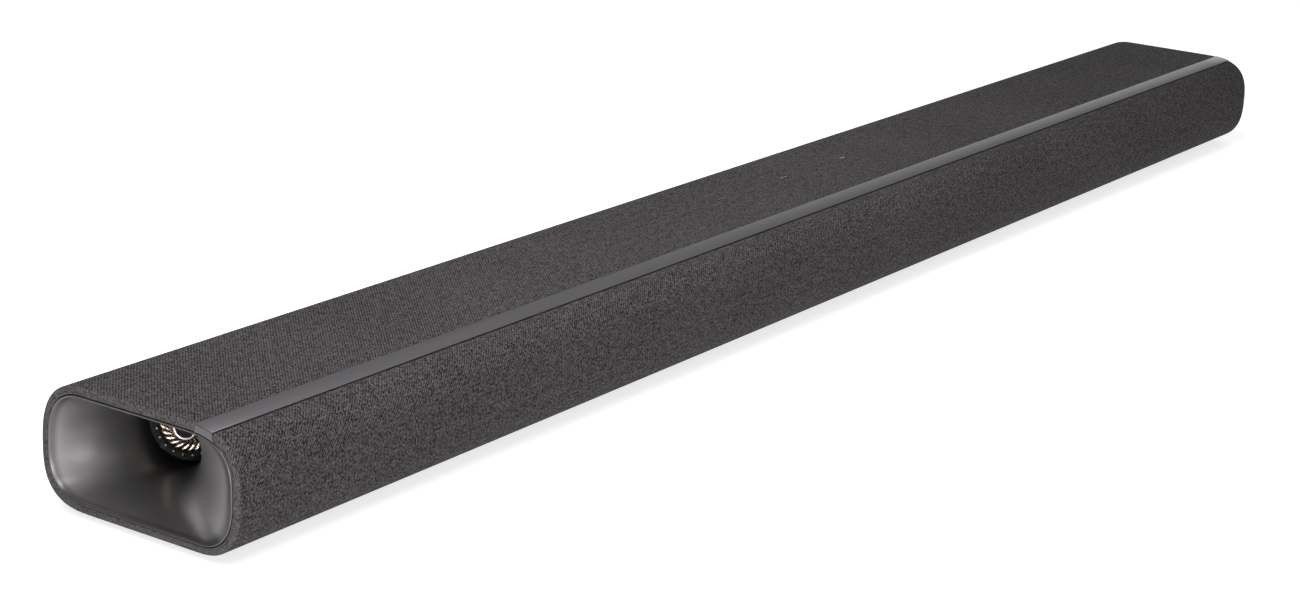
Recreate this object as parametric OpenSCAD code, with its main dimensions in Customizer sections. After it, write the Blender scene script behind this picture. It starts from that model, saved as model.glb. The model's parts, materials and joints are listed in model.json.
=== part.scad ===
// Soundbar: a fabric-wrapped bar loudspeaker with a side-firing horn in each end.
// X runs along the bar, the front faces -Y, Z is up; the origin is under the middle of the bar.

/* [Body] */
// Length of the bar over both ends
bar_l = 1120; // [1080:10:1200]
// Depth from the front to the back
bar_d = 125; // [124:0.5:128]
// Height of the wrapped body, without the feet
bar_h = 62; // [61:0.5:64]
// Height of the rubber feet
foot_h = 3; // [2:0.5:4]

/* [Skin] */
// Thickness of the knitted cover
cover_t = 1.0; // [0.8:0.1:1.2]
// Thickness of the moulded casing wall
wall = 2.5; // [2:0.1:2.8]
// Width of the fabric band that wraps over each end rim
rim_w = 3.9; // [3.6:0.1:4.2]
// Width of the metal trim strip
strip_w = 10.8; // [8:0.2:12]
// Distance of the strip's middle in front of the bar's middle
strip_y = 41.2; // [39:0.2:43]

/* [Drivers] */
// Distance between drivers in a row
driver_pitch = 65; // [60:1:75]
// Distance from the middle of the bar to the outer groups of drivers
group_x = 330; // [300:5:340]
// Travel of a woofer cone each way
woofer_travel = 2.5; // [1:0.1:2.5]

/* [Horns] */
// Radius of the horn's throat
throat_r = 20.5; // [20.3:0.1:21]
// How fast the horn closes in behind its mouth
flare = 2.2; // [1.8:0.1:2.4]
// Angle by which the end drivers are turned to the front
end_turn = 30; // [28:1:32]
// Number of vanes in a turbine plug
vanes = 26; // [20:1:30]

/* [Keys] */
// Distance between neighbouring keys
key_pitch = 70; // [60:1:80]
// Distance of the keys behind the bar's middle
key_y = 7; // [4:0.5:12]
// Travel of a key
key_travel = 0.5; // [0.3:0.1:0.6]

/* [Hidden] */
$fn = 64;

half_l = bar_l / 2;
half_d = bar_d / 2;
mid_z = foot_h + 29.2;              // widest level of the section
top_z = foot_h + bar_h;
fit = 0.1;                          // assembly clearance between fixed pieces
casing_in = cover_t + wall;         // inset of the casing's inner face
// Corner of the section: reach along Y and roundness, for each quarter
front_top = [38, 3.15];
rear_top = [28, 2.6];
rear_bottom = [31, 2.8];
front_bottom = [25.5, 2.45];
QUARTER = 12;                       // steps in a quarter of the section
strip_lo = -strip_y - strip_w / 2;
strip_hi = -strip_y + strip_w / 2;
strip_t = 1.6;
strip_proud = 0.15;

// Points of one quarter of the section, inset evenly; angle a runs from the side to the top or bottom
function corner(q, side, up, inset, a) =
    let (reach = q[0] - inset, rise = (up > 0 ? top_z - mid_z : mid_z - foot_h) - inset, e = 2 / q[1])
    [side * (half_d - q[0] + reach * pow(cos(a), e)), mid_z + up * rise * pow(sin(a), e)];
function section(inset, n = QUARTER) = concat(
    [for (i = [0:n]) corner(rear_top, 1, 1, inset, 90 * i / n)],
    [for (i = [n:-1:0]) corner(front_top, -1, 1, inset, 90 * i / n)],
    [for (i = [1:n]) corner(front_bottom, -1, -1, inset, 90 * i / n)],
    [for (i = [n:-1:1]) corner(rear_bottom, 1, -1, inset, 90 * i / n)]);

module bar(x0, x1, inset) {
    translate([x0, 0, 0]) rotate([90, 0, 90]) linear_extrude(x1 - x0) polygon(section(inset));
}
module block(x, y, z) {
    translate([x[0], y[0], z[0]]) cube([x[1] - x[0], y[1] - y[0], z[1] - z[0]]);
}
// A copy of the children for the left end, mirrored for the right end
module at_end(side) {
    if (side < 0) children();
    else mirror([1, 0, 0]) children();
}

// ---- casing ----
window_x = 496;                     // half length of the front window behind the cover
window_z = [12, 57];
window_y = -46;
casing_x = half_l - cover_t;
seam_z = mid_z;
bay_x = 92;                         // half length of the connector bay
bay_z = [13, 47];
plate_x = 480;
plate_y = [-27, 27];
plate_t = 1.6;
insert_x = 350;
insert_z = 42;
insert_r = 4;
insert_bore = 2;
insert_l = 10;

module casing_ring() {
    difference() {
        bar(-casing_x, casing_x, cover_t);
        bar(-half_l, half_l, casing_in);
        block([-window_x, window_x], [-half_d - 1, window_y], window_z);
        block([-bay_x, bay_x], [30, half_d + 1], bay_z);
    }
}
boss_x = [-440, -198, -120, 120, 198, 440];
boss_y = [-20, 20];
boss_r = 3.6;
module boss_places() {
    for (x = boss_x, y = boss_y) translate([x, y, 0]) children();
}
module base_casing() {
    color([0.05, 0.05, 0.055]) difference() {
        union() {
            intersection() {
                casing_ring();
                block([-half_l, half_l], [-half_d, half_d], [0, seam_z]);
            }
            boss_places() translate([0, 0, foot_h + casing_in - 0.5])
                cylinder(r = boss_r, h = seam_z - foot_h - casing_in);
        }
        block([-plate_x, plate_x], plate_y, [foot_h - 1, foot_h + plate_t + fit]);
        boss_places() translate([0, 0, foot_h - 1]) cylinder(r = 1.7, h = seam_z);
    }
}
module top_casing() {
    color([0.05, 0.05, 0.055]) difference() {
        union() {
            intersection() {
                casing_ring();
                block([-half_l, half_l], [-half_d, half_d], [seam_z, top_z]);
            }
            boss_places() translate([0, 0, seam_z]) cylinder(r = boss_r, h = top_z - casing_in - seam_z + 0.5);
        }
        boss_places() translate([0, 0, seam_z - 1]) cylinder(r = 1.2, h = 14);
        strip_channel(fit);
        for (k = [-1:1]) translate([k * key_pitch, key_y, top_z - 6]) key_stem(key_gap, 12);
        for (s = [-1, 1]) translate([s * insert_x, 0, insert_z]) rotate([-90, 0, 0])
            cylinder(r = insert_r, h = half_d + 1);
    }
}
module base_plate() {
    color([0.06, 0.06, 0.065]) difference() {
        block([-plate_x + fit, plate_x - fit], [plate_y[0] + fit, plate_y[1] - fit],
              [foot_h, foot_h + plate_t]);
        boss_places() translate([0, 0, foot_h - 1]) cylinder(r = 3.1, h = 3);
    }
}

// ---- front wall ----
slot_pitch = 15;
slot_w = 9;
module front_grille() {
    color([0.04, 0.04, 0.04]) difference() {
        intersection() {
            difference() {
                bar(-window_x + fit, window_x - fit, cover_t);
                bar(-half_l, half_l, casing_in);
            }
            block([-half_l, half_l], [-half_d, window_y - fit], [window_z[0] + fit, window_z[1] - fit]);
        }
        for (x = [-window_x + slot_pitch:slot_pitch:window_x - slot_pitch])
            block([x - slot_w / 2, x + slot_w / 2], [-half_d - 1, window_y - 6],
                  [window_z[0] + 6, window_z[1] - 6]);
    }
}
baffle_y = [-46, -42];
baffle_x = 480;
driver_z = 33.5;
woofer_hole = 19.2;
tweeter_hole = 11.2;
woofer_x = [for (g = [-1:1], s = [-1, 1]) g * group_x + s * driver_pitch];
tweeter_x = [for (g = [-1:1]) g * group_x];
module on_baffle(x) {
    translate([x, baffle_y[0], driver_z]) rotate([90, 0, 0]) children();
}
screw_r = 1.4;
woofer_bolt_r = 21;
tweeter_bolt_r = 14.6;
module ring_of_four(r) {
    for (a = [45:90:315]) rotate(a) translate([r, 0, 0]) children();
}
module front_baffle() {
    color([0.05, 0.05, 0.05]) difference() {
        intersection() {
            bar(-baffle_x, baffle_x, casing_in + fit);
            block([-baffle_x, baffle_x], baffle_y, [0, top_z]);
        }
        for (x = woofer_x) on_baffle(x) {
            translate([0, 0, -5]) cylinder(r = woofer_hole, h = 7);
            ring_of_four(woofer_bolt_r) translate([0, 0, -5]) cylinder(r = screw_r - 0.3, h = 7);
        }
        for (x = tweeter_x) on_baffle(x) {
            translate([0, 0, -5]) cylinder(r = tweeter_hole, h = 7);
            ring_of_four(tweeter_bolt_r) translate([0, 0, -5]) cylinder(r = screw_r - 0.3, h = 7);
        }
    }
}

// ---- woofers: local Z points out of the cone, 0 is the face of the baffle ----
gap = 0.4;                          // clearance on each side of a voice coil
coil_r = 5.4;
coil_t = 0.5;
cone_r = 15.2;
module driver_basket() {
    difference() {
        rotate_extrude() polygon([[17.8, 0], [17.8, 2], [23, 2], [23, 0], [19, 0], [12.6, -15.2], [14, -15.2],
                                  [14, -18], [8.5, -18], [8.5, -16], [11, -16], [11.4, -15.2], [17.8, -1]]);
        for (a = [0:90:270]) rotate(a) translate([9, -4.5, -13.4]) cube([14, 9, 10]);
        ring_of_four(woofer_bolt_r) translate([0, 0, -1]) cylinder(r = screw_r, h = 4);
    }
}
module driver_cone() {
    rotate_extrude() polygon([[coil_r, -23], [coil_r + coil_t, -23], [coil_r + coil_t, -10.2], [10.5, -6.2],
                              [cone_r, -0.6], [cone_r, 0.1], [10.2, -5.6], [6.4, -9], [4.4, -7.6], [2.2, -6.8],
                              [0, -6.5], [0, -7.1], [2, -7.4], [4, -8.2], [coil_r, -9.6]]);
}
module driver_magnet() {
    rotate_extrude() polygon([[0, -28.5], [13.5, -28.5], [13.5, -26], [15.5, -26], [15.5, -20],
                              [14, -20], [14, -18], [coil_r + coil_t + gap, -18],
                              [coil_r + coil_t + gap, -20], [8.5, -20], [8.5, -26],
                              [coil_r - gap, -26], [coil_r - gap, -18.2], [0, -18.2]]);
}
module driver_surround() {
    rotate_extrude() polygon(concat([for (a = [0:20:180]) [16.6 + 1.2 * cos(180 - a), 0.2 + 1.2 * sin(a)]],
                                    [for (a = [180:-20:0]) [16.6 + 0.7 * cos(180 - a), 0.2 + 0.7 * sin(a)]]));
}
module woofer_basket(i) {
    color([0.12, 0.12, 0.13]) on_baffle(woofer_x[i - 1]) driver_basket();
}
module woofer_cone(i) {
    color([0.2, 0.2, 0.2]) on_baffle(woofer_x[i - 1]) driver_cone();
}

// ---- tweeters ----
dome_r = 7.4;
dome_t = 0.4;
module tweeter_frame(i) {
    color([0.1, 0.1, 0.1]) on_baffle(tweeter_x[i - 1]) difference() {
        rotate_extrude() polygon([[8, 0.4], [9.6, 1.8], [17, 1.8], [17, 0], [11, 0], [11, -2], [8, -2]]);
        ring_of_four(tweeter_bolt_r) translate([0, 0, -1]) cylinder(r = screw_r, h = 4);
    }
}
module tweeter_dome(i) {
    color([0.5, 0.5, 0.52]) on_baffle(tweeter_x[i - 1]) rotate_extrude()
        polygon(concat([[dome_r - dome_t, -5], [dome_r, -5]],
                       [for (a = [0:15:90]) [dome_r * cos(a), 3 * sin(a)]],
                       [for (a = [90:-15:0]) [(dome_r - dome_t) * cos(a), 2.6 * sin(a)]]));
}
module tweeter_magnet() {
    rotate_extrude() polygon([[0, -11], [13, -11], [13, -4.2], [11, -4.2], [11, -2.2],
                              [dome_r + gap, -2.2], [dome_r + gap, -8], [dome_r - dome_t - gap, -8],
                              [dome_r - dome_t - gap, -1.5], [0, -1.5]]);
}

// ---- ends: horn, chamber, angled driver with its turbine plug ----
lip_w = 1.1;
RINGS = 10;
AROUND = 16;                        // steps in a quarter of a horn ring
horn_wall = 2;
horn_mouth = rim_w + lip_w;
mouth_x = -half_l + 0.3;
plug_dx = 53.5;                     // depth of the plug's ring behind the end of the bar
plug_y = 22.6;
plug_z = foot_h + bar_h / 2;
plug_h = 12;                        // height of the ring above the driver's mounting wall
throat_h = 1;                       // height of the throat's rim above that wall
throat_back = plug_h - throat_h;
throat_c = [-half_l + plug_dx + throat_back * cos(end_turn), plug_y + throat_back * sin(end_turn)];
// Points of the round throat, turned with the driver, in the order of the section's points
function throat_point(a, side, up, r) =
    let (w = side * r * cos(a))
    [throat_c[0] - w * sin(end_turn), throat_c[1] + w * cos(end_turn), plug_z + up * r * sin(a)];
function throat_ring(r, n) = concat(
    [for (i = [0:n]) throat_point(90 * i / n, 1, 1, r)],
    [for (i = [n:-1:0]) throat_point(90 * i / n, -1, 1, r)],
    [for (i = [1:n]) throat_point(90 * i / n, -1, -1, r)],
    [for (i = [n:-1:1]) throat_point(90 * i / n, 1, -1, r)]);
// A ring of the horn, from its mouth at t = 0 to its throat at t = 1
function horn_ring(t, inset, grow) =
    let (m = section(inset, AROUND), c = throat_ring(throat_r + grow, AROUND), s = 1 - pow(1 - t, flare))
    [for (i = [0:len(m) - 1]) [(1 - t) * mouth_x + t * c[i][0], (1 - s) * m[i][0] + s * c[i][1],
                               (1 - s) * m[i][1] + s * c[i][2]]];
module loft(inset, grow, from, to) {
    n = 4 * AROUND + 2;
    rings = [for (k = [0:RINGS]) horn_ring(k / RINGS, inset, grow)];
    pts = concat([for (p = rings[0]) [p[0] - from, p[1], p[2]]], [for (q = rings) for (p = q) p],
                 [for (p = rings[RINGS]) [p[0] + to, p[1], p[2]]]);
    side = [for (k = [0:RINGS + 1], j = [0:n - 1])
        [k * n + j, (k + 1) * n + j, (k + 1) * n + (j + 1) % n, k * n + (j + 1) % n]];
    polyhedron(pts, concat(side, [[for (j = [0:n - 1]) j]],
               [[for (j = [n - 1:-1:0]) (RINGS + 2) * n + j]]), convexity = 6);
}
module horn() {
    difference() {
        union() {
            translate([1, 0, 0]) loft(rim_w + fit, horn_wall, 1, 0);
            bar(-casing_x + fit, -casing_x + 3, casing_in + fit);
        }
        loft(horn_mouth, 0, 1, 3);
    }
}
end_k = 0.85;                       // the end driver is a smaller woofer
module at_plug() {
    translate([-half_l + plug_dx, plug_y, plug_z]) rotate([0, 0, end_turn]) rotate([0, -90, 0])
        translate([0, 0, -plug_h]) children();
}
chamber_x = [-half_l + 40, -half_l + 100];
chamber_y = [-10, 56];
chamber_t = 2;
mount_t = 3;                        // wall that carries the driver
module chamber() {
    difference() {
        chamber_block(0, 0);
        chamber_block(chamber_t, mount_t);
        at_plug() {
            translate([0, 0, -mount_t - 1]) cylinder(r = woofer_hole * end_k, h = mount_t + 2);
            ring_of_four(woofer_bolt_r * end_k) translate([0, 0, -mount_t - 1])
                cylinder(r = screw_r - 0.4, h = mount_t + 2);
        }
    }
}
// The can behind the driver's mounting wall, inset by t, and by front from that wall
module chamber_block(t, front) {
    intersection() {
        bar(chamber_x[0], chamber_x[1] - t, casing_in + fit + t);
        block([-half_l, 0], [chamber_y[0] + t, chamber_y[1] - t], [0, top_z]);
        at_plug() translate([-50, -80, -90 - front]) cube([100, 160, 90]);
    }
}
vane_r = 15;
hub_r = 6;
cup_r = 5.05;
turbine_rim = [14.1, 16];         // inner and outer radius of the plug's outer ring
module turbine() {
    at_plug() difference() {
        union() {
            translate([0, 0, 2]) intersection() {
                rotate_extrude() polygon([[0, 0.4], [vane_r, 0.4], [vane_r, 1.2], [14.2, 2.8], [12.6, 4.4],
                                          [10.4, 6], [hub_r, 7.6], [0, 7.6]]);
                linear_extrude(10) for (i = [0:vanes - 1]) rotate(i * 360 / vanes) vane();
            }
            translate([0, 0, 2]) cylinder(r = hub_r + 0.4, h = 8);
            translate([0, 0, 2]) difference() {
                cylinder(r = turbine_rim[1], h = 3.4);
                translate([0, 0, -1]) cylinder(r = turbine_rim[0], h = 6);
            }
        }
        translate([0, 0, 5]) cylinder(r = cup_r, h = 8);
    }
}
// One swept blade in plan: its line turns from the hub to the tip
module vane() {
    n = 4;
    twist = 40;
    polygon(concat([for (k = [0:n]) let (r = hub_r - 0.4 + (vane_r + 0.4 - hub_r) * k / n, a = twist * k / n)
                        [r * cos(a - 100 / r), r * sin(a - 100 / r)]],
                   [for (k = [n:-1:0]) let (r = hub_r - 0.4 + (vane_r + 0.4 - hub_r) * k / n, a = twist * k / n)
                        [r * cos(a + 3 - 40 / r), r * sin(a + 3 - 40 / r)]]));
}
module turbine_ring() {
    at_plug() translate([0, 0, plug_h - 4]) rotate_extrude()
        polygon([[4.6, -2.4], [4.6, 2.6], [5, 3.4], [5.6, 3.6], [6.2, 3.3], [6.5, 2.6], [6.5, 2],
                 [5, 2], [5, -2.4]]);
}
module left_horn() {
    color([0.2, 0.2, 0.21]) at_end(-1) horn();
}
module right_horn() {
    color([0.2, 0.2, 0.21]) at_end(1) horn();
}
module left_chamber() {
    color([0.03, 0.03, 0.03]) at_end(-1) chamber();
}
module right_chamber() {
    color([0.03, 0.03, 0.03]) at_end(1) chamber();
}
module left_turbine() {
    color([0.55, 0.42, 0.33]) at_end(-1) turbine();
}
module right_turbine() {
    color([0.55, 0.42, 0.33]) at_end(1) turbine();
}
module left_turbine_ring() {
    color([0.85, 0.85, 0.87]) at_end(-1) turbine_ring();
}
module right_turbine_ring() {
    color([0.85, 0.85, 0.87]) at_end(1) turbine_ring();
}
module left_end_cone() {
    color([0.2, 0.2, 0.2]) at_end(-1) at_plug() scale(end_k) driver_cone();
}
module right_end_cone() {
    color([0.2, 0.2, 0.2]) at_end(1) at_plug() scale(end_k) driver_cone();
}
module end_driver_baskets() {
    color([0.12, 0.12, 0.13]) for (s = [-1, 1]) at_end(s) at_plug() scale(end_k) driver_basket();
}
module driver_magnets() {
    color([0.3, 0.3, 0.32]) {
        for (x = woofer_x) on_baffle(x) driver_magnet();
        for (x = tweeter_x) on_baffle(x) tweeter_magnet();
        for (s = [-1, 1]) at_end(s) at_plug() scale(end_k) driver_magnet();
    }
}
module driver_surrounds() {
    color([0.04, 0.04, 0.04]) {
        for (x = woofer_x) on_baffle(x) driver_surround();
        for (s = [-1, 1]) at_end(s) at_plug() scale(end_k) driver_surround();
    }
}

// ---- cover and strip ----
module strip_channel(c) {
    intersection() {
        difference() {
            bar(-half_l - 1, half_l + 1, -3);
            bar(-half_l - 2, half_l + 2, strip_t + 0.2 + c);
        }
        block([-half_l - 1, half_l + 1], [strip_lo - c, strip_hi + c], [mid_z, top_z + 4]);
    }
}
module trim_strip() {
    color([0.32, 0.32, 0.34]) intersection() {
        difference() {
            bar(-half_l, half_l, -strip_proud);
            bar(-half_l + 1.2, half_l - 1.2, strip_t);
            bar(-half_l - 2, half_l + 2, rim_w);
        }
        block([-half_l - 1, half_l + 1], [strip_lo, strip_hi], [mid_z, top_z + 4]);
    }
}
module fabric_sleeve() {
    color([0.13, 0.13, 0.135]) difference() {
        bar(-half_l + fit, half_l - fit, 0);
        bar(-casing_x, casing_x, cover_t);
        bar(-half_l - 1, half_l + 1, rim_w);
        block([-half_l - 1, half_l + 1], [strip_lo - 0.2, strip_hi + 0.2], [mid_z, top_z + 1]);
        block([-bay_x - 0.2, bay_x + 0.2], [30, half_d + 1], [bay_z[0] - 0.2, bay_z[1] + 0.2]);
        block([-plate_x, plate_x], plate_y, [0, foot_h + 2]);
        for (k = [-1:1]) translate([k * key_pitch, key_y, top_z - 6]) key_stem(key_gap, 12);
        for (s = [-1, 1]) translate([s * insert_x, half_d - 8, insert_z]) rotate([-90, 0, 0])
            cylinder(r = insert_r + 0.3, h = 12);
    }
}

// ---- keys ----
key_gap = 0.25;
key_stem_w = [9, 2.4];
key_proud = 0.2;
module key_stem(c, h) {
    block([-key_stem_w[0] / 2 - c, key_stem_w[0] / 2 + c],
          [-key_stem_w[1] / 2 - c, key_stem_w[1] / 2 + c], [0, h]);
}
key_plate_z = top_z - casing_in - 0.3;
module key(k, glyph) {
    color([0.02, 0.02, 0.02]) translate([k * key_pitch, key_y, 0]) {
        block([-7, 7], [-5, 5], [key_plate_z - 1.4, key_plate_z]);
        translate([0, 0, key_plate_z - 0.5]) key_stem(0, top_z - key_plate_z);
        translate([0, 0, top_z - 0.6]) linear_extrude(0.6 + key_proud) glyph_shape(glyph);
    }
}
// Raised sign on a key: a bar, two bars, or a cross, inside the stem's outline
module glyph_shape(glyph) {
    if (glyph == "minus") square([6.4, 1.2], center = true);
    if (glyph == "source") {
        translate([-2.3, 0]) square([3.6, 1.6], center = true);
        translate([2.3, 0]) square([3.6, 1.6], center = true);
    }
    if (glyph == "plus") {
        square([6.4, 1.2], center = true);
        square([1.2, 2.2], center = true);
    }
}
module volume_down_key() {
    key(-1, "minus");
}
module source_key() {
    key(0, "source");
}
module volume_up_key() {
    key(1, "plus");
}
key_board_z = key_plate_z - 1.4 - 3.6;
module key_dome(i) {
    color([0.5, 0.5, 0.48]) translate([(i - 2) * key_pitch, key_y, key_board_z]) rotate_extrude()
        polygon([[0, 3.5], [1.8, 3.5], [2.2, 2.4], [3.8, 0.8], [5, 0.8], [5, 0], [3.2, 0],
                 [1.8, 1.5], [0, 1.5]]);
}
module key_board() {
    color([0.05, 0.25, 0.12]) block([-90, 90], [key_y - 9, key_y + 9], [key_board_z - 1.6, key_board_z]);
}

// ---- electronics ----
board_t = 1.6;
main_board_z = 14;
module part_on(x, y, z, size) {
    block([x, x + size[0]], [y, y + size[1]], [z, z + size[2]]);
}
module main_board() {
    color([0.05, 0.25, 0.12]) {
        block([-100, 100], [-14, 34], [main_board_z, main_board_z + board_t]);
        part_on(-20, -8, main_board_z + board_t, [18, 18, 1.6]);
        part_on(10, -6, main_board_z + board_t, [14, 14, 1.4]);
        part_on(40, -10, main_board_z + board_t, [22, 16, 3]);
    }
}
module amplifier_board() {
    color([0.05, 0.25, 0.12]) {
        block([210, 310], [-8, 44], [main_board_z, main_board_z + board_t]);
        for (i = [0:3]) translate([224 + i * 22, 36, main_board_z + board_t]) cylinder(r = 5, h = 13);
        for (i = [0:3]) part_on(222 + i * 22, 20, main_board_z + board_t, [12, 9, 9]);
    }
}
module heat_sink() {
    color([0.6, 0.6, 0.62]) {
        part_on(216, -4, main_board_z + board_t, [88, 20, 3]);
        for (i = [0:8]) part_on(218 + i * 10, -4, main_board_z + board_t + 3, [2, 20, 12]);
    }
}
module power_supply_board() {
    color([0.4, 0.3, 0.12]) {
        block([-334, -206], [-8, 44], [main_board_z, main_board_z + board_t]);
        for (x = [-318, -294]) translate([x, 14, main_board_z + board_t]) cylinder(r = 10, h = 28);
        part_on(-278, 4, main_board_z + board_t, [32, 30, 24]);
        part_on(-238, 8, main_board_z + board_t, [22, 20, 18]);
    }
}
display_x = [-14, 14];
module status_display() {
    color([0.1, 0.1, 0.1]) block(display_x, [-51, -46.2], [51.5, 55.5]);
}

// ---- rear ----
bay_floor_y = 40;
module connector_panel() {
    color([0.05, 0.05, 0.05]) difference() {
        intersection() {
            bar(-bay_x + fit, bay_x - fit, 0.6);
            block([-bay_x, bay_x], [bay_floor_y - 2, half_d], [bay_z[0] + fit, bay_z[1] - fit]);
        }
        block([-bay_x + 2, bay_x - 2], [bay_floor_y, half_d + 1], [bay_z[0] + 2, bay_z[1] - 2]);
        for (x = hdmi_x) socket_hole(x, hdmi);
        socket_hole(optical_x, optical);
        socket_hole(usb_x, usb);
        socket_hole(mains_x, mains);
    }
}
socket_z = 24;
hdmi_x = [-66, -40];
hdmi = [15.4, 6];
optical_x = -12;
optical = [10, 10];
usb_x = 16;
usb = [14.4, 7];
mains_x = 64;
mains = [24, 16];
module socket_hole(x, s) {
    block([x - s[0] / 2 - fit, x + s[0] / 2 + fit], [bay_floor_y - 3, bay_floor_y + 1],
          [socket_z - s[1] / 2 - fit, socket_z + s[1] / 2 + fit]);
}
module socket_box(x, s, wall_t, tongue) {
    difference() {
        block([x - s[0] / 2, x + s[0] / 2], [bay_floor_y - 12, bay_floor_y + 1],
              [socket_z - s[1] / 2, socket_z + s[1] / 2]);
        block([x - s[0] / 2 + wall_t, x + s[0] / 2 - wall_t], [bay_floor_y - 10, bay_floor_y + 2],
              [socket_z - s[1] / 2 + wall_t, socket_z + s[1] / 2 - wall_t]);
    }
    block([x - s[0] / 2 + 2.4, x + s[0] / 2 - 2.4], [bay_floor_y - 11, bay_floor_y],
          [socket_z - tongue / 2, socket_z + tongue / 2]);
}
module hdmi_sockets() {
    color([0.7, 0.7, 0.7]) for (x = hdmi_x) socket_box(x, hdmi, 0.6, 1.8);
}
module usb_socket() {
    color([0.7, 0.7, 0.7]) socket_box(usb_x, usb, 0.6, 1.8);
}
module optical_socket() {
    color([0.1, 0.1, 0.1]) difference() {
        block([optical_x - 5, optical_x + 5], [bay_floor_y - 12, bay_floor_y + 1],
              [socket_z - 5, socket_z + 5]);
        block([optical_x - 3, optical_x + 3], [bay_floor_y - 0.5, bay_floor_y + 2],
              [socket_z - 3, socket_z + 3]);
    }
}
pin_r = 1.2;
pin_pitch = 8.6;
module mains_inlet() {
    color([0.02, 0.02, 0.02]) {
        difference() {
            block([mains_x - 12, mains_x + 12], [bay_floor_y - 16, bay_floor_y + 1],
                  [socket_z - 8, socket_z + 8]);
            for (s = [-1, 1]) translate([mains_x + s * pin_pitch / 2, bay_floor_y - 13, socket_z])
                rotate([-90, 0, 0]) cylinder(r = 4.2, h = 20);
            block([mains_x - pin_pitch / 2, mains_x + pin_pitch / 2], [bay_floor_y - 13, bay_floor_y + 2],
                  [socket_z - 3.4, socket_z + 3.4]);
        }
        for (s = [-1, 1]) translate([mains_x + s * pin_pitch / 2, bay_floor_y - 14, socket_z])
            rotate([-90, 0, 0]) cylinder(r = pin_r, h = 12);
    }
}
module wall_inserts() {
    color([0.75, 0.6, 0.3]) for (s = [-1, 1])
        translate([s * insert_x, half_d - 1 - insert_l, insert_z]) rotate([-90, 0, 0]) difference() {
            cylinder(r = insert_r, h = insert_l);
            translate([0, 0, 1]) cylinder(r = insert_bore, h = insert_l);
        }
}
foot_x = [-430, -160, 160, 430];
foot_r = 9;
module rubber_feet() {
    color([0.03, 0.03, 0.03]) for (x = foot_x)
        translate([x, 0, 0]) rotate_extrude()
            polygon([[0, 0], [foot_r - 1, 0], [foot_r, 1], [foot_r, foot_h], [0, foot_h]]);
}
module screw(l, head_r) {
    cylinder(r = head_r, h = 1.6);
    translate([0, 0, 1]) cylinder(r = 1.15, h = l);
}
module casing_screws() {
    color([0.3, 0.3, 0.3]) boss_places() translate([0, 0, foot_h]) screw(seam_z - foot_h + 8, 2.8);
}
module driver_screws() {
    color([0.3, 0.3, 0.3]) {
        for (x = woofer_x) on_baffle(x) ring_of_four(woofer_bolt_r)
            translate([0, 0, 3.6]) mirror([0, 0, 1]) screw_small(1.9);
        for (x = tweeter_x) on_baffle(x) ring_of_four(tweeter_bolt_r)
            translate([0, 0, 3.4]) mirror([0, 0, 1]) screw_small(1.9);
        for (s = [-1, 1]) at_end(s) at_plug() ring_of_four(woofer_bolt_r * end_k)
            translate([0, 0, 2 * end_k + 1.6]) mirror([0, 0, 1]) screw_small(1.6);
    }
}
module screw_small(head_r) {
    cylinder(r = head_r, h = 1.6);
    translate([0, 0, 1]) cylinder(r = 0.95, h = 5);
}

base_casing();
top_casing();
base_plate();
front_grille();
front_baffle();
fabric_sleeve();
trim_strip();
left_horn();
right_horn();
left_chamber();
right_chamber();
left_turbine();
right_turbine();
left_turbine_ring();
right_turbine_ring();
left_end_cone();
right_end_cone();
end_driver_baskets();
driver_magnets();
driver_surrounds();
for (i = [1:6]) woofer_basket(i);
for (i = [1:6]) woofer_cone(i);
for (i = [1:3]) tweeter_frame(i);
for (i = [1:3]) tweeter_dome(i);
volume_down_key();
source_key();
volume_up_key();
for (i = [1:3]) key_dome(i);
key_board();
main_board();
amplifier_board();
heat_sink();
power_supply_board();
status_display();
connector_panel();
hdmi_sockets();
optical_socket();
usb_socket();
mains_inlet();
wall_inserts();
rubber_feet();
casing_screws();
driver_screws();
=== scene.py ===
# A fabric-wrapped soundbar with a metal strip, a flared horn in each end and keys on top.
import json
import math

import bmesh
import bpy
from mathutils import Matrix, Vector


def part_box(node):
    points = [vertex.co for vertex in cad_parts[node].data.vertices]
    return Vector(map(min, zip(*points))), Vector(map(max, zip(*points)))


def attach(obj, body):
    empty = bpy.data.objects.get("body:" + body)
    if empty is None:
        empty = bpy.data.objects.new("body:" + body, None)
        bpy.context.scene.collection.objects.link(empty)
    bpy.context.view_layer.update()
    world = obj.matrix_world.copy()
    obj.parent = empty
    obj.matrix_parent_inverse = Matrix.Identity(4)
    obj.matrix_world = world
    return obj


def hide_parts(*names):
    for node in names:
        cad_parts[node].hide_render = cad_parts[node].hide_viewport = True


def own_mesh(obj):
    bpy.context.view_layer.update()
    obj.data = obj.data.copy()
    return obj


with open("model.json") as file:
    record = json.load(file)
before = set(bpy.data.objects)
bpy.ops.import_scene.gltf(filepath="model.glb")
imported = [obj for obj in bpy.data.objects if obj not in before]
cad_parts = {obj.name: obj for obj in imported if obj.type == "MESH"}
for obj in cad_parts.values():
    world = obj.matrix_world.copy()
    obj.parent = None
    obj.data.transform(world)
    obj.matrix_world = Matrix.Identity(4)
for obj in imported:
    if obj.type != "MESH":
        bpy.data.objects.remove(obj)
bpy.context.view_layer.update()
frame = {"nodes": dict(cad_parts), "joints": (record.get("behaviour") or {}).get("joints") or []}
nodes = frame["nodes"]

# ---------------------------------------------------------------- viewpoint
# The bar is seen from above the left end, with the end nearest to the lens.
view_data = bpy.data.cameras.new("view")
view_data.lens = 74.95
view_data.sensor_width = 36
view = bpy.data.objects.new("view", view_data)
bpy.context.scene.collection.objects.link(view)
view.location = (-1.3838, -0.8350, 0.4762)
view.rotation_euler = [math.radians(a) for a in (73.017, -2.381, -55.160)]
bpy.context.scene.camera = view

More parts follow.
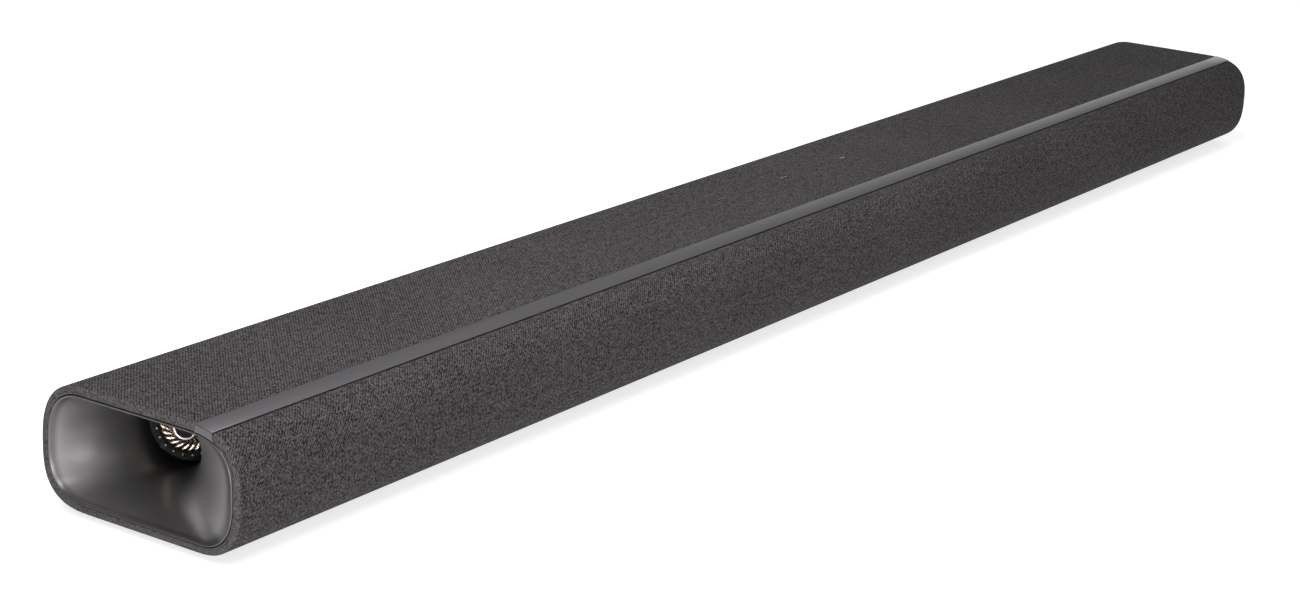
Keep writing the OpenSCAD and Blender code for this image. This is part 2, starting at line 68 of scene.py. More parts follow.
# ---------------------------------------------------------------- cover
# One piece of heathered charcoal knit, stretched round the bar from the back of the metal
# strip to its front and turned over both end rims, where it is tucked in against the horn.
cloth_lo, cloth_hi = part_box("fabric_sleeve")
strip_lo, strip_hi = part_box("trim_strip")
half_l = strip_hi.x
half_d = cloth_hi.y
foot_h = cloth_lo.z
top_z = cloth_hi.z
WAIST_H = 0.0292
mid_z = foot_h + WAIST_H
rim_w = 0.0039
SECTION_STEPS = 48
FINE_STEPS = 2400
# Each corner of the section: its reach along Y and how square it is
front_top = (0.038, 3.15)
rear_top = (0.028, 2.6)
rear_bottom = (0.031, 2.8)
front_bottom = (0.0255, 2.45)


def corner(shape, side, up, inset, angle):
    """A point of one rounded corner of the section; angle runs from the side to the top or bottom."""
    reach, square = shape
    rise = (top_z - mid_z if up > 0 else mid_z - foot_h) - inset
    run = reach - inset
    y = side * (half_d - reach + run * max(math.cos(angle), 0) ** (2 / square))
    return y, mid_z + up * rise * max(math.sin(angle), 0) ** (2 / square)


def section(inset, steps):
    """The bar's closed section, inset evenly, as (y, z) points from the rear side over the top."""
    turn = [i / steps * math.pi / 2 for i in range(steps + 1)]
    points = [corner(rear_top, 1, 1, inset, a) for a in turn]
    points += [corner(front_top, -1, 1, inset, a) for a in reversed(turn)]
    points += [corner(front_bottom, -1, -1, inset, a) for a in turn[1:]]
    points += [corner(rear_bottom, 1, -1, inset, a) for a in reversed(turn[1:])]
    return points


def travel(points, closed=False):
    """How far along a line each of its points lies."""
    run = [0.0]
    for a, b in zip(points, points[1:] + (points[:1] if closed else [])):
        run.append(run[-1] + math.dist(a, b))
    return run


def respaced(points, spots):
    """Points at the given distances along a line."""
    run = travel(points)
    out = []
    k = 0
    for s in spots:
        while k < len(points) - 2 and run[k + 1] < s:
            k += 1
        f = (s - run[k]) / max(run[k + 1] - run[k], 1e-12)
        out.append(tuple(a + (b - a) * f for a, b in zip(points[k], points[k + 1])))
    return out


def cut_at_strip(points, side):
    """The points of an open round trip that starts behind the strip and ends in front of it,
    or with side "strip" the short stretch between them."""
    ring = points + points[:1]
    fine = respaced(ring, [i / FINE_STEPS * travel(ring)[-1] for i in range(FINE_STEPS + 1)])
    on_strip = [strip_lo.y < y < strip_hi.y and z > mid_z for y, z in fine]
    first = on_strip.index(True)
    last = len(on_strip) - 1 - on_strip[::-1].index(True)
    if side == "strip":
        return fine[first:last + 1]
    return fine[last + 1:] + fine[1:first]


def even(points, count, ends=()):
    """The line respaced evenly, with extra spots near both ends."""
    full = travel(points)[-1]
    spots = sorted({round(full * i / count, 9) for i in range(count + 1)}
                   | set(ends) | {full - e for e in ends})
    return respaced(points, spots)


RIM_R = 0.0016
RIM_STEPS = 6
rim_turns = [i / RIM_STEPS * math.pi / 2 for i in range(RIM_STEPS + 1)]


def end_path(r, extra):
    """From the middle of the bar round the end rim, of radius r: (x, inset) stations."""
    straight = [((half_l - r) * f, 0.0) for f in (0.0, 0.25, 0.5, 0.7, 0.85, 0.95)]
    round_end = [(half_l - r + r * math.sin(a), r - r * math.cos(a)) for a in rim_turns]
    return straight + round_end + extra


def nothing_selected():
    if bpy.context.mode != "OBJECT":
        bpy.ops.object.mode_set(mode="OBJECT")
    bpy.ops.object.select_all(action="DESELECT")


def picked(piece):
    """Makes the piece the only selected object and the active one."""
    nothing_selected()
    bpy.context.view_layer.objects.active = piece
    piece.select_set(True)


def skin(name, stations, place):
    """A grid laid over the bar, with its UV map in metres; place(station) gives a row of points."""
    nothing_selected()
    rows = [place(s) for s in stations]
    across = len(rows[0])
    bpy.ops.mesh.primitive_grid_add(x_subdivisions=across - 1, y_subdivisions=len(rows) - 1, size=1)
    piece = bpy.context.object
    piece.name = name
    mesh = piece.data
    mesh.name = name
    for i, vertex in enumerate(mesh.vertices):
        vertex.co = rows[i // across][i % across]
    mid = rows[len(rows) // 2]
    v_of = travel(mid)
    u_of = travel([row[across // 2] for row in rows])
    uv = mesh.uv_layers[0].data
    for loop in mesh.loops:
        i = loop.vertex_index
        uv[loop.index].uv = (u_of[i // across], v_of[i % across])
    return piece


def applied(piece, kind, **settings):
    """Adds a modifier with its settings and applies it."""
    picked(piece)
    modifier = piece.modifiers.new(kind.lower(), kind)
    for key, value in settings.items():
        setattr(modifier, key, value)
    bpy.ops.object.modifier_apply(modifier=modifier.name)


def dressed(piece, finish, angle):
    """Gives the piece its one finish and smooths it below an angle in degrees."""
    piece.data.materials.clear()
    piece.data.materials.append(finish.material)
    picked(piece)
    bpy.ops.object.shade_smooth_by_angle(angle=math.radians(angle))


def mirrored_path(path):
    """The stations of a half, carried on past the middle to the left end."""
    return [(-x, i) for x, i in reversed(path[1:])] + path


CLOTH_T = 0.0009
CLOTH_COLUMNS = 150
EDGE_SPOTS = (0.0004, 0.0009, 0.0016)
# Beside the strip the cloth's edge dips over the tuck's width
TUCK_DROP = 0.0007
TUCK_W = 0.0009
cloth_path = mirrored_path(end_path(RIM_R, [
    (half_l, 0.0026), (half_l, rim_w - 0.0006), (half_l - 0.0002, rim_w - 0.0002),
    (half_l - 0.0009, rim_w)]))


def cloth_row(station):
    x, inset = station
    line = even(cut_at_strip(section(inset, SECTION_STEPS), "cloth"), CLOTH_COLUMNS, EDGE_SPOTS)
    full = travel(line)[-1]
    row = []
    for (y, z), s in zip(line, travel(line)):
        near = min(s, full - s)
        drop = TUCK_DROP * max(0, 1 - near / TUCK_W) ** 2
        row.append((x, y, z - drop))
    return row


cover = skin("cover", cloth_path, cloth_row)


def bisected(places, axis):
    """Cuts edges across the piece in edit mode, at the given places along an axis."""
    normal = [0, 0, 0]
    normal[axis] = 1
    for place in places:
        bpy.ops.mesh.select_all(action="SELECT")
        at = [0, 0, 0]
        at[axis] = place
        bpy.ops.mesh.bisect(plane_co=at, plane_no=normal)


def faces_within(piece, low, high):
    """Selects the faces whose middles lie in a box, in edit mode."""
    mesh = bmesh.from_edit_mesh(piece.data)
    for part in (mesh.verts, mesh.edges, mesh.faces):
        for item in part:
            item.select = False
    for face in mesh.faces:
        c = face.calc_center_median()
        face.select = all(l < v < h for l, v, h in zip(low, c, high))
    mesh.select_flush_mode()
    bmesh.update_edit_mesh(piece.data)


bay_lo, bay_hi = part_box("connector_panel")
plate_lo, plate_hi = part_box("base_plate")
key_names = ("volume_down_key", "source_key", "volume_up_key")
KEY_SLOT = (0.0048, 0.0015)
key_centres = []
for key_name in key_names:
    key_lo, key_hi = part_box(key_name)
    key_centres.append((key_lo + key_hi) / 2)
picked(cover)
bpy.ops.object.mode_set(mode="EDIT")
bisected([bay_lo.x, bay_hi.x, plate_lo.x, plate_hi.x], 0)
bisected([plate_lo.y, plate_hi.y], 1)
bisected([bay_lo.z, bay_hi.z], 2)
bisected([c.x + s * KEY_SLOT[0] for c in key_centres for s in (-1, 1)], 0)
bisected([key_centres[0].y + s * KEY_SLOT[1] for s in (-1, 1)], 1)
faces_within(cover, (bay_lo.x, 0.03, bay_lo.z), (bay_hi.x, 1, bay_hi.z))
bpy.ops.mesh.delete(type="FACE")
faces_within(cover, (plate_lo.x, plate_lo.y, -1), (plate_hi.x, plate_hi.y, foot_h + 0.001))
bpy.ops.mesh.delete(type="FACE")
KEY_FACES_Z = (0.05, 0.1)
for c in key_centres:
    faces_within(cover, (c.x - KEY_SLOT[0], c.y - KEY_SLOT[1], KEY_FACES_Z[0]),
                 (c.x + KEY_SLOT[0], c.y + KEY_SLOT[1], KEY_FACES_Z[1]))
    bpy.ops.mesh.delete(type="FACE")
bpy.ops.object.mode_set(mode="OBJECT")
applied(cover, "SOLIDIFY", thickness=CLOTH_T, offset=-1, use_quality_normals=True)
# A punched hole over each threaded wall insert in the back
insert_lo, insert_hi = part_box("wall_inserts")
INSERT_HOLE_R = 0.0045
PUNCH_LONG = 0.02
insert_r = (insert_hi.z - insert_lo.z) / 2
for side in (-1, 1):
    nothing_selected()
    bpy.ops.mesh.primitive_cylinder_add(
        vertices=40, radius=INSERT_HOLE_R, depth=PUNCH_LONG, rotation=(math.pi / 2, 0, 0),
        location=(side * (insert_hi.x - insert_r), half_d, (insert_lo.z + insert_hi.z) / 2))
    punch = bpy.context.object
    applied(cover, "BOOLEAN", operation="DIFFERENCE", object=punch)
    bpy.data.objects.remove(punch)


class Wire:
    """One output of a shader node that takes part in sums."""

    def __init__(self, finish, socket):
        self.finish = finish
        self.socket = socket

    def math(self, operation, *others):
        return self.finish.node("ShaderNodeMath", {"operation": operation},
                                dict(enumerate([self, *others])))

    def __add__(self, other):
        return self.math("ADD", other)

    def __sub__(self, other):
        return self.math("SUBTRACT", other)

    def __mul__(self, other):
        return self.math("MULTIPLY", other)

    def clamped(self):
        return self.math("MAXIMUM", 0.0).math("MINIMUM", 1.0)


class Finish:
    """A material and its principled shader; constants go straight on the shader's sockets."""

    def __init__(self, name, **constants):
        self.material = bpy.data.materials.new(name)
        self.material.use_nodes = True
        self.tree = self.material.node_tree
        self.shader = self.tree.nodes["Principled BSDF"]
        for key, value in constants.items():
            self.shader.inputs[key.replace("_", " ").title()].default_value = value

    def node(self, kind, settings=None, inputs=None, output=0):
        made = self.tree.nodes.new(kind)
        for key, value in (settings or {}).items():
            setattr(made, key, value)
        for key, value in (inputs or {}).items():
            self.feed(made.inputs[key], value)
        return Wire(self, made.outputs[output])

    def feed(self, socket, value):
        if isinstance(value, Wire):
            self.tree.links.new(value.socket, socket)
        else:
            socket.default_value = value

    def set(self, key, value):
        self.feed(self.shader.inputs[key], value)

    def place(self, scale=(1, 1, 1)):
        """Object coordinates, stretched along each axis."""
        where = self.node("ShaderNodeTexCoord", output="Object")
        return self.node("ShaderNodeMapping", None, {"Vector": where, "Scale": scale})

    def noise(self, scale, detail=3.0, where=None):
        return self.node("ShaderNodeTexNoise", None, {
            "Vector": where or self.place(), "Scale": scale, "Detail": detail}, "Fac")

    def mix(self, factor, a, b):
        return self.node("ShaderNodeMix", {"data_type": "RGBA"}, {0: factor, 6: (*a, 1), 7: (*b, 1)}, 2)

    def bump(self, height, strength, distance):
        self.set("Normal", self.node("ShaderNodeBump", None, {
            "Height": height, "Strength": strength, "Distance": distance}))


THREAD = 0.00095
RIB = 0.0023
cloth = Finish("charcoal_knit", roughness=0.9, sheen_weight=0.015, sheen_roughness=0.5)
cloth.shader.inputs["Specular IOR Level"].default_value = 0.06
on_cloth = cloth.node("ShaderNodeTexCoord", output="UV")
along = cloth.node("ShaderNodeSeparateXYZ", None, {0: on_cloth}, "X")
around = cloth.node("ShaderNodeSeparateXYZ", None, {0: on_cloth}, "Y")
wander = cloth.noise(900, 2, on_cloth) * 0.0007
twill = ((along + around + wander) * (math.pi / THREAD)).math("SINE")
warp = (along * (2 * math.pi / THREAD)).math("SINE")
weft = ((around + wander) * (2 * math.pi / THREAD)).math("SINE")
fleck = cloth.noise(760, 3, on_cloth)
height = twill * 0.22 + warp * 0.1 + weft * 0.1 + (fleck - 0.5) * 2.6 + 0.45
patch = cloth.noise(14, 2, on_cloth)
heather = cloth.noise(210, 3, on_cloth)
rib = (along * (2 * math.pi / RIB)).math("SINE")
# Painted highlight: the cloth is made lighter over the last millimetre or so at each end, where it turns
# over the rim, standing in for the light the rim catches.
beyond = cloth.node("ShaderNodeSeparateXYZ", None, {0: cloth.place()}, "X").math("ABSOLUTE")
painted_rim_light = cloth.node("ShaderNodeMapRange", {"interpolation_type": "SMOOTHSTEP"}, {
    "Value": beyond, "From Min": half_l - 0.0016, "From Max": half_l - 0.0003}, "Result")
tone = (height * 0.9 + (patch - 0.5) * 0.2 + (heather - 0.5) * 0.75 + rib * 0.05 + painted_rim_light * 0.3).clamped()
cloth.set("Base Color", cloth.mix(tone, (0.0035, 0.0031, 0.0033), (0.089, 0.082, 0.084)))
cloth.bump(height.clamped(), 0.8, 0.0003)
dressed(cover, cloth, 40)
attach(cover, "root")
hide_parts("fabric_sleeve")
cover_girth = travel(cut_at_strip(section(0, SECTION_STEPS), "cloth"))[-1]

# ---------------------------------------------------------------- metal strip
# A rolled aluminium strip, anodised gunmetal, laid in the gap of the cover along the top
# front edge and bent down over both end rims. Its long edges are broken by a small bevel.
STRIP_BEND_R = 0.0006
STRIP_T = 0.0012
STRIP_PROUD = 0.00012
STRIP_COLUMNS = 8
STRIP_EDGE_SPOTS = (0.0004,)
strip_path = mirrored_path(end_path(STRIP_BEND_R, [
    (half_l, 0.0018), (half_l, 0.0030), (half_l, rim_w)]))


def strip_row(station):
    x, inset = station
    line = cut_at_strip(section(inset, SECTION_STEPS), "strip")
    line = even(line, STRIP_COLUMNS, STRIP_EDGE_SPOTS)
    return [(x, y, z + STRIP_PROUD) for y, z in line]


strip = skin("metal_strip", strip_path, strip_row)
applied(strip, "SOLIDIFY", thickness=STRIP_T, offset=-1, use_even_offset=True)
applied(strip, "BEVEL", width=0.00025, segments=2, limit_method="ANGLE", angle_limit=math.radians(60))
gunmetal = Finish("gunmetal_anodised", metallic=0.85)
brush = gunmetal.noise(1, 4, gunmetal.place(scale=(14, 2600, 2600)))
gunmetal.set("Base Color", gunmetal.mix(brush, (0.089, 0.085, 0.090), (0.136, 0.130, 0.136)))
gunmetal.set("Roughness", brush * 0.12 + 0.32)
gunmetal.bump(brush, 0.15, 0.00004)
dressed(strip, gunmetal, 30)
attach(strip, "root")
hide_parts("trim_strip")

# ---------------------------------------------------------------- horns
# A moulded flare in each end, painted satin graphite: a thin bead round the mouth, then a
# trumpet curve down to a round throat that is turned with the end driver. It is held by the
# casing behind the cover's edge.
LIP_W = 0.0011
FLARE = 2.2
HORN_AROUND = 24
HORN_DEEP = 30
GAP_W = 0.0003
MOUTH_IN = 0.0004
THROAT_H = 0.001
HORN_T = 0.0005
end_axis = next(j["axis"] for j in frame["joints"] if j["name"] == "left_end_stroke")
plug_out = Vector(end_axis).normalized()
plug_side = Vector((plug_out.y, -plug_out.x, 0))
plug_up = Vector((0, 0, 1))
ring_lo, ring_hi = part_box("left_turbine_ring")
RING_MID = 0.0086
plug_base = (ring_lo + ring_hi) / 2 - plug_out * RING_MID
THROAT_R = 0.0205


def on_plug(r, angle, h):
    """A point at distance r from the end driver's axis, turned by angle, h out from its wall."""
    return plug_base + plug_out * h + plug_side * (r * math.cos(angle)) + plug_up * (r * math.sin(angle))


def throat(steps):
    """Points of the round throat, turned with the driver, in the order of the section's points."""
    turn = [i / steps * math.pi / 2 for i in range(steps + 1)]
    order = turn + [math.pi - a for a in reversed(turn)]
    order += [math.pi + a for a in turn[1:]] + [2 * math.pi - a for a in reversed(turn[1:])]
    return [on_plug(THROAT_R, a, THROAT_H) for a in order]


def flare(t, inset):
    """One ring of the horn, from its mouth at t = 0 to its throat at t = 1."""
    close = 1 - (1 - t) ** FLARE
    ring = []
    for (y, z), c in zip(section(inset, HORN_AROUND), throat(HORN_AROUND)):
        x = -(half_l - MOUTH_IN) * (1 - t) + c.x * t
        ring.append((x, y * (1 - close) + c.y * close, z * (1 - close) + c.z * close))
    return ring


def tube(name, rings):
    """A skin over closed rings of (x, y, z) points, with its seam merged."""
    piece = skin(name, range(len(rings)), lambda k: rings[k] + rings[k][:1])
    bpy.ops.object.mode_set(mode="EDIT")
    bpy.ops.mesh.select_all(action="SELECT")
    bpy.ops.mesh.remove_doubles(threshold=1e-6)
    bpy.ops.object.mode_set(mode="OBJECT")
    return piece


def turned_over(piece):
    """Points the faces of a piece the other way."""
    picked(piece)
    bpy.ops.object.mode_set(mode="EDIT")
    bpy.ops.mesh.select_all(action="SELECT")
    bpy.ops.mesh.flip_normals()
    bpy.ops.object.mode_set(mode="OBJECT")


def horn_rings():
    """The horn's rings: the bead round its mouth, then the flare."""
    edge = rim_w + GAP_W
    bead = [(half_l - 0.0030, edge), (half_l - MOUTH_IN, edge), (half_l - 0.0001, edge + 0.0002),
            (half_l, edge + 0.00045), (half_l - 0.0001, edge + 0.0007)]
    out = [[(-x, y, z) for y, z in section(inset, HORN_AROUND)] for x, inset in bead]
    return out + [flare(k / HORN_DEEP, edge + LIP_W) for k in range(HORN_DEEP + 1)]


horn = tube("left_horn_flare", horn_rings())
turned_over(horn)
applied(horn, "SOLIDIFY", thickness=HORN_T, offset=-1)
graphite = Finish("satin_graphite", metallic=0.9)
grain = graphite.noise(2200, 3)
cloudy = graphite.noise(22, 2)
reach = graphite.node("ShaderNodeSeparateXYZ", None, {0: graphite.place()}, "X").math("ABSOLUTE")
# Painted shade: the paint turns near black towards the throat and darker at the lip, standing in for the
# shade inside the horn.
painted_throat_shade = graphite.node("ShaderNodeMapRange", {"interpolation_type": "SMOOTHSTEP"}, {
    "Value": reach, "From Min": half_l - 0.030, "From Max": half_l - 0.056}, "Result")
paint = graphite.mix(cloudy, (0.28, 0.270, 0.273), (0.33, 0.320, 0.323))
painted_lip_shade = graphite.node("ShaderNodeMapRange", {"interpolation_type": "SMOOTHSTEP"}, {
    "Value": reach, "From Min": half_l - 0.0048, "From Max": half_l - 0.0008}, "Result")
painted_shade = painted_throat_shade.math("MAXIMUM", painted_lip_shade * 0.7)
graphite.set("Base Color", graphite.node("ShaderNodeMix", {"data_type": "RGBA"}, {
    0: painted_shade, 6: paint, 7: (0.03, 0.029, 0.029, 1)}, 2))
graphite.set("Roughness", grain * 0.08 + cloudy * 0.05 + 0.29)
graphite.bump(grain, 0.1, 0.00005)
dressed(horn, graphite, 50)


def right_copy(piece, name):
    """The piece mirrored for the other end, with a mesh of its own and its normals put right."""
    twin = piece.copy()
    twin.data = piece.data.copy()
    twin.name = name
    twin.data.name = name
    bpy.context.scene.collection.objects.link(twin)
    for vertex in twin.data.vertices:
        vertex.co.x = -vertex.co.x
    turned_over(twin)
    return twin


for side, piece in (("left", horn), ("right", right_copy(horn, "right_horn_flare"))):
    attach(piece, "root")
    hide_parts(side + "_horn")

# ---------------------------------------------------------------- turbine plugs
# A cast plug in front of each end driver: swept vanes, polished and tinted bronze, fall from
# the hub and rise to a shoulder inside a black outer ring that small pins hold. A bright ring
# is pressed round the hub.
VANES = 26
SWEEP = math.radians(36)
VANE_HIGH = 0.0022
# Half a vane's width at the hub, and how much it gains on its way to the rim
HALF_AT_HUB = 0.0004
HALF_GAIN = 0.0008
# The line of a vane from the hub to the rim, as (radius, height)
vane_line = [(0.0057, 0.0094), (0.0065, 0.0076), (0.0076, 0.0058), (0.0087, 0.0043),
             (0.0097, 0.0034), (0.0106, 0.0031), (0.0114, 0.0033), (0.0122, 0.0037),
             (0.0129, 0.0041), (0.0134, 0.0041), (0.0138, 0.0036)]
# A vane's section, as shares of half its width and half its height
vane_loop = [(-1.0, -0.45), (1.0, -0.45), (1.0, 0.4), (0.75, 0.85), (0.4, 0.95), (-0.1, 0.92),
             (-0.6, 0.74), (-0.9, 0.5), (-1.0, 0.1)]


def vane_rings(turn):
    """The sections of one vane along its line, starting at an angle round the hub."""
    rings = []
    for k, (r, h) in enumerate(vane_line):
        f = k / (len(vane_line) - 1)
        middle = turn + SWEEP * f ** 0.8
        half = (HALF_AT_HUB + HALF_GAIN * f) / r
        before = vane_line[max(k - 1, 0)]
        after = vane_line[min(k + 1, len(vane_line) - 1)]
        run = (after[0] - before[0], after[1] - before[1])
        size = math.hypot(*run)
        normal = (-run[1] / size, run[0] / size)
        ring = []
        for a, b in vane_loop:
            ring.append(on_plug(r + normal[0] * b * VANE_HIGH * 0.5, middle + a * half,
                                h + normal[1] * b * VANE_HIGH * 0.5))
        rings.append(ring)
    return rings


def joined(pieces, name):
    """Makes one piece of several, under a new name."""
    nothing_selected()
    for piece in pieces:
        piece.select_set(True)
    bpy.context.view_layer.objects.active = pieces[0]
    bpy.ops.object.join()
    pieces[0].name = name
    pieces[0].data.name = name
    return pieces[0]


def closed(piece):
    """Closes the open ends of a tube and turns its faces outwards."""
    picked(piece)
    bpy.ops.object.mode_set(mode="EDIT")
    bpy.ops.mesh.select_mode(type="EDGE")
    bpy.ops.mesh.select_all(action="DESELECT")
    bpy.ops.mesh.select_non_manifold()
    bpy.ops.mesh.edge_face_add()
    bpy.ops.mesh.select_all(action="SELECT")
    bpy.ops.mesh.normals_make_consistent(inside=False)
    bpy.ops.object.mode_set(mode="OBJECT")


def spun(name, profile, count=48):
    """A ring or dish turned about the plug's axis from (r, h) points."""
    return tube(name, [[on_plug(r, 2 * math.pi * i / count, h) for i in range(count)] for r, h in profile])


vanes = []
for i in range(VANES):
    blade = tube(f"vane_{i}", vane_rings(2 * math.pi * i / VANES))
    closed(blade)
    vanes.append(blade)
core = spun("core", [(0.0048, 0.0021), (0.0138, 0.0021), (0.0137, 0.0029), (0.0129, 0.0036),
                     (0.0122, 0.0034), (0.0114, 0.0031), (0.0106, 0.0028), (0.0097, 0.0031),
                     (0.0087, 0.0039), (0.0076, 0.0053), (0.0065, 0.0070), (0.0056, 0.0086),
                     (0.0048, 0.0086)])
closed(core)
rim = spun("rim", [(0.0141, 0.0020), (0.0160, 0.0020), (0.0160, 0.0060), (0.0156, 0.0066),
                   (0.0145, 0.0066), (0.0141, 0.0060), (0.0141, 0.0020)])
# The pins stand on a circle of their own in the rim
PIN_CIRCLE_R = 0.01505
PINS = 20
PIN_SIDES = 8
pin_profile = ((0.0005, 0.0060), (0.0005, 0.0071), (0.0003, 0.0074))


def pin_ring(angle, r, h):
    """One ring of a pin: r is its own radius."""
    turns = [2 * math.pi * j / PIN_SIDES for j in range(PIN_SIDES)]
    return [on_plug(PIN_CIRCLE_R + r * math.cos(a), angle + r * math.sin(a) / PIN_CIRCLE_R, h)
            for a in turns]


studs = []
for i in range(PINS):
    angle = 2 * math.pi * (i + 0.5) / PINS
    stud = tube(f"stud_{i}", [pin_ring(angle, r, h) for r, h in pin_profile])
    closed(stud)
    studs.append(stud)
turbine = joined(vanes, "left_turbine_vanes")
bronze = Finish("polished_bronze", metallic=1.0)
pits = bronze.noise(1800, 3)
bronze.set("Base Color", bronze.mix(bronze.noise(260, 2), (0.66, 0.54, 0.43), (0.80, 0.71, 0.62)))
bronze.set("Roughness", pits * 0.12 + 0.18)
bronze.bump(pits, 0.08, 0.00004)
black_metal = Finish("black_enamel")
black_metal.shader.inputs["Specular IOR Level"].default_value = 0.08
speck = black_metal.noise(2000, 2)
black_metal.set("Base Color", black_metal.mix(speck, (0.005, 0.0045, 0.005), (0.012, 0.011, 0.011)))
black_metal.set("Roughness", speck * 0.15 + 0.45)
dressed(turbine, bronze, 45)
hub = joined([core, rim], "left_turbine_core")
pins = joined(studs, "left_turbine_pins")
dressed(hub, black_metal, 40)
# The ring's crown is half a round wire
WIRE_R = 0.0008
CROWN_R = 0.0052
CROWN_H = 0.0112
CROWN_STEPS = 10
crown_turns = [math.pi * k / CROWN_STEPS for k in range(CROWN_STEPS + 1)]
crown = [(CROWN_R - WIRE_R * math.cos(a), CROWN_H + WIRE_R * math.sin(a)) for a in crown_turns]
bright = spun("left_hub_ring", [(0.0045, 0.0084)] + crown + [(0.0059, 0.0088), (0.0045, 0.0084)])
silver = Finish("polished_silver", metallic=1.0)
haze = silver.noise(1200, 3)
silver.set("Base Color", silver.mix(haze, (0.50, 0.48, 0.51), (0.62, 0.60, 0.63)))
silver.set("Roughness", haze * 0.12 + 0.26)
dressed(bright, silver, 50)
pins.data.materials.clear()
pins.data.materials.append(silver.material)
cup = spun("left_hub_cup", [(0.0044, 0.0100), (0.0040, 0.0080), (0.0028, 0.0070),
                            (0.0014, 0.0072), (0.0004, 0.0078)], 32)
closed(cup)
dressed(cup, black_metal, 50)
for piece, node in ((turbine, "turbine"), (hub, "turbine"), (pins, "turbine"), (cup, "turbine"),
                    (bright, "turbine_ring")):
    twin = right_copy(piece, piece.name.replace("left", "right"))
    for side, one in (("left", piece), ("right", twin)):
        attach(one, "root")
        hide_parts(f"{side}_{node}")
        "ring_silver" if node == "turbine_ring" else "turbine_bronze"


# ---------------------------------------------------------------- the frame's own pieces
# Moulded shells, boards, drivers and fasteners keep their shapes and take finishes with the
# grain and speckle of the real materials.
ROUGH_SPREAD = 0.12


def finish_of(name, dark, light, roughness, metallic=0.0, grain_size=1600, bump=0.1, gloss=0.5):
    """A finish that wanders between two colours, with a fine grain."""
    made = Finish(name, metallic=metallic)
    made.shader.inputs["Specular IOR Level"].default_value = gloss
    fine = made.noise(grain_size, 3)
    broad = made.noise(30, 2)
    made.set("Base Color", made.mix((fine * 0.6 + broad * 0.4).clamped(), dark, light))
    made.set("Roughness", fine * ROUGH_SPREAD + roughness - ROUGH_SPREAD / 2)
    made.bump(fine, bump, 0.00006)
    return made.material


def coated(names, material):
    """Puts one finish on pieces of the frame."""
    for name in names:
        mesh = nodes[name].data
        mesh.materials.clear()
        mesh.materials.append(material)


coated(["base_casing", "top_casing", "connector_panel", "base_plate", "optical_socket", "mains_inlet"],
       finish_of("moulded_black", (0.018, 0.018, 0.019), (0.036, 0.036, 0.038), 0.55, bump=0.25))
coated(["front_grille", "front_baffle", "status_display"],
       finish_of("grille_black", (0.014, 0.014, 0.014), (0.03, 0.03, 0.03), 0.6, bump=0.2))
coated(["left_chamber", "right_chamber"],
       finish_of("chamber_black", (0.004, 0.004, 0.004), (0.010, 0.010, 0.010), 0.6, bump=0.2, gloss=0.1))
woofers = [f"woofer_cone_{i}" for i in range(1, 7)] + ["left_end_cone", "right_end_cone"]
coated(woofers, finish_of("pressed_fibre", (0.02, 0.02, 0.021), (0.055, 0.055, 0.057), 0.6,
                          bump=0.5, grain_size=700))
baskets = [f"woofer_basket_{i}" for i in range(1, 7)] + [f"tweeter_frame_{i}" for i in range(1, 4)]
coated(baskets + ["end_driver_baskets"],
       finish_of("basket_black", (0.006, 0.006, 0.006), (0.014, 0.014, 0.014), 0.6, gloss=0.1))
coated([f"tweeter_dome_{i}" for i in range(1, 4)],
       finish_of("spun_dome", (0.4, 0.4, 0.41), (0.55, 0.55, 0.57), 0.3, metallic=1.0))
coated(["driver_magnets", "hdmi_sockets", "usb_socket"],
       finish_of("plated_steel", (0.3, 0.3, 0.31), (0.45, 0.45, 0.46), 0.35, metallic=1.0))
coated(["casing_screws", "driver_screws"],
       finish_of("black_oxide", (0.008, 0.008, 0.008), (0.02, 0.02, 0.02), 0.5, gloss=0.15))
coated(["driver_surrounds", "rubber_feet"],
       finish_of("soft_rubber", (0.012, 0.012, 0.012), (0.03, 0.03, 0.03), 0.75, bump=0.3))
coated(key_names, finish_of("key_black", (0.008, 0.008, 0.008), (0.02, 0.02, 0.02), 0.35))
# Each dome under a key gets a mesh of its own
for i, press in enumerate(("volume_down_press", "source_press", "volume_up_press")):
    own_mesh(nodes[f"key_dome_{i + 1}"])
coated([f"key_dome_{i}" for i in (1, 2, 3)],
       finish_of("silicone_grey", (0.3, 0.3, 0.29), (0.42, 0.42, 0.4), 0.5))
coated(["key_board", "main_board", "amplifier_board", "power_supply_board"],
       finish_of("solder_mask", (0.008, 0.07, 0.03), (0.02, 0.13, 0.055), 0.4, grain_size=300))
coated(["heat_sink"],
       finish_of("extruded_aluminium", (0.45, 0.45, 0.46), (0.62, 0.62, 0.64), 0.4, metallic=1.0))
coated(["wall_inserts"],
       finish_of("turned_brass", (0.45, 0.32, 0.13), (0.62, 0.46, 0.2), 0.3, metallic=1.0))

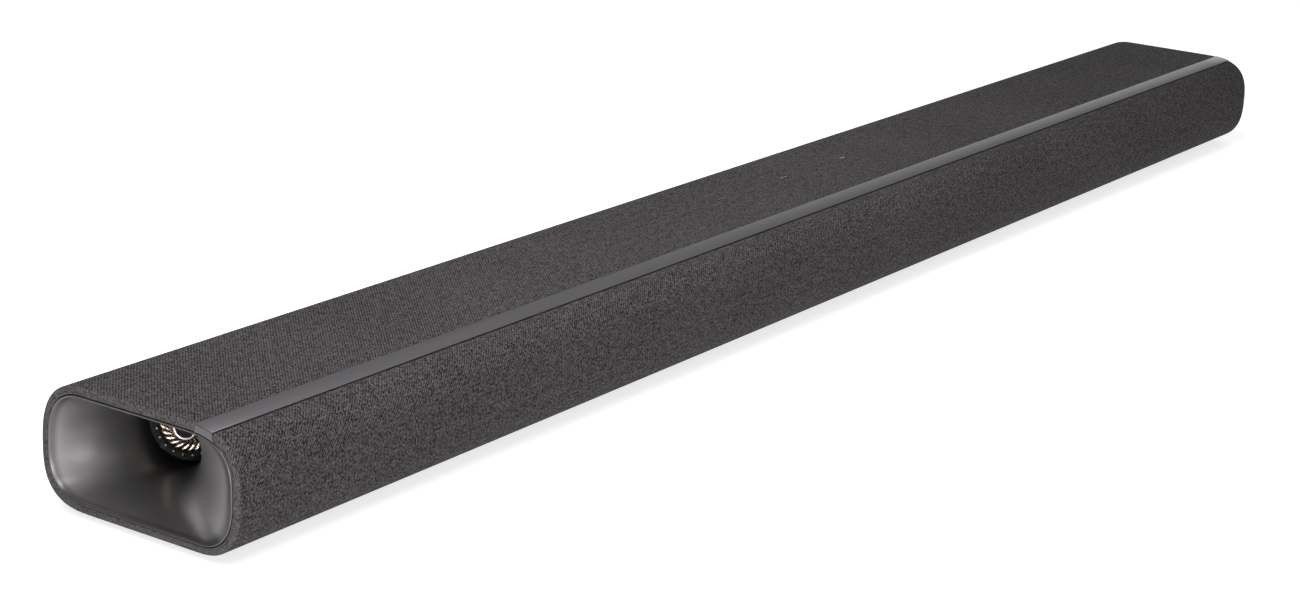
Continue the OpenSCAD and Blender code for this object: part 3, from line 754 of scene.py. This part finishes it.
# ---------------------------------------------------------------- studio
# A pale back-lit floor, a large soft light overhead, soft lights over and before the left
# end, one beyond the right end, and a narrow snoot that picks out the left plug.
nothing_selected()
bpy.ops.mesh.primitive_plane_add(size=12, location=(0, 0, -0.0005))
floor = bpy.context.object
floor.name = "studio_floor"
paper = Finish("floor_paper", roughness=0.9)
fibre = paper.noise(60, 2)
paper.set("Base Color", paper.mix(fibre, (0.48, 0.48, 0.48), (0.52, 0.52, 0.52)))
paper.shader.inputs["Emission Color"].default_value = (1, 1, 1, 1)
paper.shader.inputs["Emission Strength"].default_value = 0.74
floor.data.materials.append(paper.material)

world = bpy.data.worlds.new("studio_air")
bpy.context.scene.world = world
world.use_nodes = True
world.node_tree.nodes["Background"].inputs["Color"].default_value = (1, 1, 1, 1)
world.node_tree.nodes["Background"].inputs["Strength"].default_value = 0.15


def softbox(name, at, aim, size, power):
    """A rectangular soft light at one point, aimed at another."""
    lamp = bpy.data.lights.new(name, "AREA")
    lamp.shape = "RECTANGLE"
    lamp.size, lamp.size_y = size
    lamp.energy = power
    lit = bpy.data.objects.new(name, lamp)
    bpy.context.scene.collection.objects.link(lit)
    lit.location = at
    lit.rotation_euler = (Vector(aim) - Vector(at)).to_track_quat("-Z", "Y").to_euler()


softbox("ceiling", (1.4, 0.6, 2.6), (1.4, 0.6, 0), (6.4, 6), 40)
softbox("over_left_half", (-0.30, -0.05, 1.0), (-0.30, -0.05, 0.05), (0.6, 0.6), 12)
softbox("front_left", (-2.2, -1.4, 0.7), (-0.56, 0, 0.035), (2.4, 1.3), 20)
softbox("into_left_horn", (-1.7, -1.1, 0.10), (-0.54, 0, 0.035), (0.4, 0.25), 10)
softbox("over_mouth", (-1.15, -0.46, 0.87), (-0.55, 0.03, 0.03), (0.4, 0.4), 6)
snoot = bpy.data.lights.new("snoot", "SPOT")
snoot.spot_size = math.radians(1.7)
snoot.spot_blend = 0.8
snoot.shadow_soft_size = 0.02
snoot.energy = 45
pin_light = bpy.data.objects.new("snoot", snoot)
bpy.context.scene.collection.objects.link(pin_light)
pin_light.location = (-1.7, -1.1, 0.10)
VANES_H = 0.006
to_vanes = plug_base + plug_out * VANES_H - pin_light.location
pin_light.rotation_euler = to_vanes.to_track_quat("-Z", "Y").to_euler()
softbox("far_right", (3.2, 1.3, 0.5), (0.3, 0, 0.06), (1.4, 0.8), 8)
bpy.context.scene.view_settings.view_transform = "Standard"
